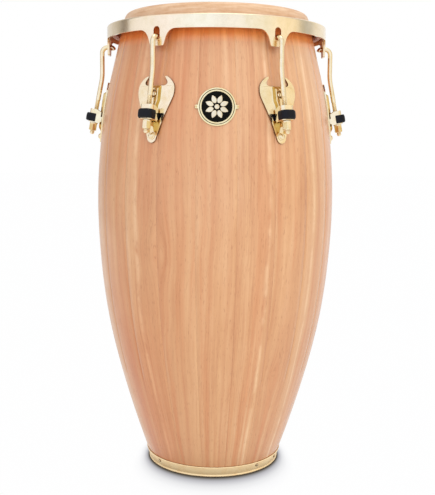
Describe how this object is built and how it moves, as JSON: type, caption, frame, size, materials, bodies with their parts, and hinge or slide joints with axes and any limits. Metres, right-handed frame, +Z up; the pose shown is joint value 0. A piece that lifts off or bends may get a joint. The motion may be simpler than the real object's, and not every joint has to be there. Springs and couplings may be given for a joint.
{
  "type": "conga drum",
  "caption": "Tall barrel-shaped single-headed hand drum with a stave shell, rawhide head, eared tension rim and leaning tuning hooks on heart-shaped side plates.",
  "frame": {"origin": "on the floor, at the drum's centre axis", "axes": "+Z up along the shell, -Y towards the badge side, +X to the right seen from the badge side"},
  "size_m": [0.4418, 0.3996, 0.762],
  "materials": {
    "wood": "satin",
    "hide": "matte",
    "gold": "polished",
    "satin_gold": "satin",
    "badge_gold": "satin",
    "steel": "satin",
    "rubber": "matte"
  },
  "bodies": {
    "root": {"shell": "wood", "drumhead": "hide", "bottom_band": "satin_gold", "badge": "badge_gold", "badge_pin_left": "gold", "badge_pin_right": "gold", "band_screw_front_left": "satin_gold", "band_screw_front_right": "satin_gold", "band_screw_right": "satin_gold", "band_screw_back": "satin_gold", "side_plate_front_left": "gold", "side_plate_front_right": "gold", "side_plate_right": "gold", "side_plate_back_right": "gold", "side_plate_back_left": "gold", "side_plate_left": "gold", "lug_bracket_front_left": "gold", "lug_bracket_front_right": "gold", "lug_bracket_right": "gold", "lug_bracket_back_right": "gold", "lug_bracket_back_left": "gold", "lug_bracket_left": "gold", "shell_protector_front_left": "rubber", "shell_protector_front_right": "rubber", "shell_protector_right": "rubber", "shell_protector_back_right": "rubber", "shell_protector_back_left": "rubber", "shell_protector_left": "rubber", "upper_bolt_front_left": "gold", "upper_bolt_front_right": "gold", "upper_bolt_right": "gold", "upper_bolt_back_right": "gold", "upper_bolt_back_left": "gold", "upper_bolt_left": "gold", "lower_bolt_front_left": "gold", "lower_bolt_front_right": "gold", "lower_bolt_right": "gold", "lower_bolt_back_right": "gold", "lower_bolt_back_left": "gold", "lower_bolt_left": "gold", "backing_plate_front_left": "steel", "backing_plate_front_right": "steel", "backing_plate_right": "steel", "backing_plate_back_right": "steel", "backing_plate_back_left": "steel", "backing_plate_left": "steel"},
    "rim_assembly": {"rim": "gold", "flesh_hoop": "steel"},
    "hook_front_left": {"tuning_hook_front_left": "gold"},
    "nut_front_left": {"tuning_nut_front_left": "gold"},
    "hook_front_right": {"tuning_hook_front_right": "gold"},
    "nut_front_right": {"tuning_nut_front_right": "gold"},
    "hook_right": {"tuning_hook_right": "gold"},
    "nut_right": {"tuning_nut_right": "gold"},
    "hook_back_right": {"tuning_hook_back_right": "gold"},
    "nut_back_right": {"tuning_nut_back_right": "gold"},
    "hook_back_left": {"tuning_hook_back_left": "gold"},
    "nut_back_left": {"tuning_nut_back_left": "gold"},
    "hook_left": {"tuning_hook_left": "gold"},
    "nut_left": {"tuning_nut_left": "gold"}
  },
  "joints": [
    {"name": "rim_tension", "type": "slide", "parent": "root", "child": "rim_assembly", "axis": [0, 0, 1], "range_m": [-0.008, 0.01]},
    {"name": "hook_travel_front_left", "type": "slide", "parent": "root", "child": "hook_front_left", "axis": [0.0981, 0.1698, 0.9806], "range_m": [-0.0083, 0.0104]},
    {"name": "nut_turn_front_left", "type": "hinge", "parent": "root", "child": "nut_front_left", "pos_m": [-0.10385, -0.17986, 0.58354], "axis": [0.0981, 0.1698, 0.9806], "range_deg": [-2700, 2200]},
    {"name": "hook_travel_front_right", "type": "slide", "parent": "root", "child": "hook_front_right", "axis": [-0.0981, 0.1698, 0.9806], "range_m": [-0.0083, 0.0104]},
    {"name": "nut_turn_front_right", "type": "hinge", "parent": "root", "child": "nut_front_right", "pos_m": [0.10385, -0.17986, 0.58354], "axis": [-0.0981, 0.1698, 0.9806], "range_deg": [-2700, 2200]},
    {"name": "hook_travel_right", "type": "slide", "parent": "root", "child": "hook_right", "axis": [-0.1961, 0, 0.9806], "range_m": [-0.0083, 0.0104]},
    {"name": "nut_turn_right", "type": "hinge", "parent": "root", "child": "nut_right", "pos_m": [0.20769, 0, 0.58354], "axis": [-0.1961, 0, 0.9806], "range_deg": [-2700, 2200]},
    {"name": "hook_travel_back_right", "type": "slide", "parent": "root", "child": "hook_back_right", "axis": [-0.0981, -0.1698, 0.9806], "range_m": [-0.0083, 0.0104]},
    {"name": "nut_turn_back_right", "type": "hinge", "parent": "root", "child": "nut_back_right", "pos_m": [0.10385, 0.17986, 0.58354], "axis": [-0.0981, -0.1698, 0.9806], "range_deg": [-2700, 2200]},
    {"name": "hook_travel_back_left", "type": "slide", "parent": "root", "child": "hook_back_left", "axis": [0.0981, -0.1698, 0.9806], "range_m": [-0.0083, 0.0104]},
    {"name": "nut_turn_back_left", "type": "hinge", "parent": "root", "child": "nut_back_left", "pos_m": [-0.10385, 0.17986, 0.58354], "axis": [0.0981, -0.1698, 0.9806], "range_deg": [-2700, 2200]},
    {"name": "hook_travel_left", "type": "slide", "parent": "root", "child": "hook_left", "axis": [0.1961, 0, 0.9806], "range_m": [-0.0083, 0.0104]},
    {"name": "nut_turn_left", "type": "hinge", "parent": "root", "child": "nut_left", "pos_m": [-0.20769, 0, 0.58354], "axis": [0.1961, 0, 0.9806], "range_deg": [-2700, 2200]}
  ],
  "couplings": [
    {"joint": "hook_travel_front_left", "follows": "rim_tension", "ratio": 1.0198},
    {"joint": "nut_turn_front_left", "follows": "rim_tension", "rad_per_m": -4540.8},
    {"joint": "hook_travel_front_right", "follows": "rim_tension", "ratio": 1.0198},
    {"joint": "nut_turn_front_right", "follows": "rim_tension", "rad_per_m": -4540.8},
    {"joint": "hook_travel_right", "follows": "rim_tension", "ratio": 1.0198},
    {"joint": "nut_turn_right", "follows": "rim_tension", "rad_per_m": -4540.8},
    {"joint": "hook_travel_back_right", "follows": "rim_tension", "ratio": 1.0198},
    {"joint": "nut_turn_back_right", "follows": "rim_tension", "rad_per_m": -4540.8},
    {"joint": "hook_travel_back_left", "follows": "rim_tension", "ratio": 1.0198},
    {"joint": "nut_turn_back_left", "follows": "rim_tension", "rad_per_m": -4540.8},
    {"joint": "hook_travel_left", "follows": "rim_tension", "ratio": 1.0198},
    {"joint": "nut_turn_left", "follows": "rim_tension", "rad_per_m": -4540.8}
  ]
}
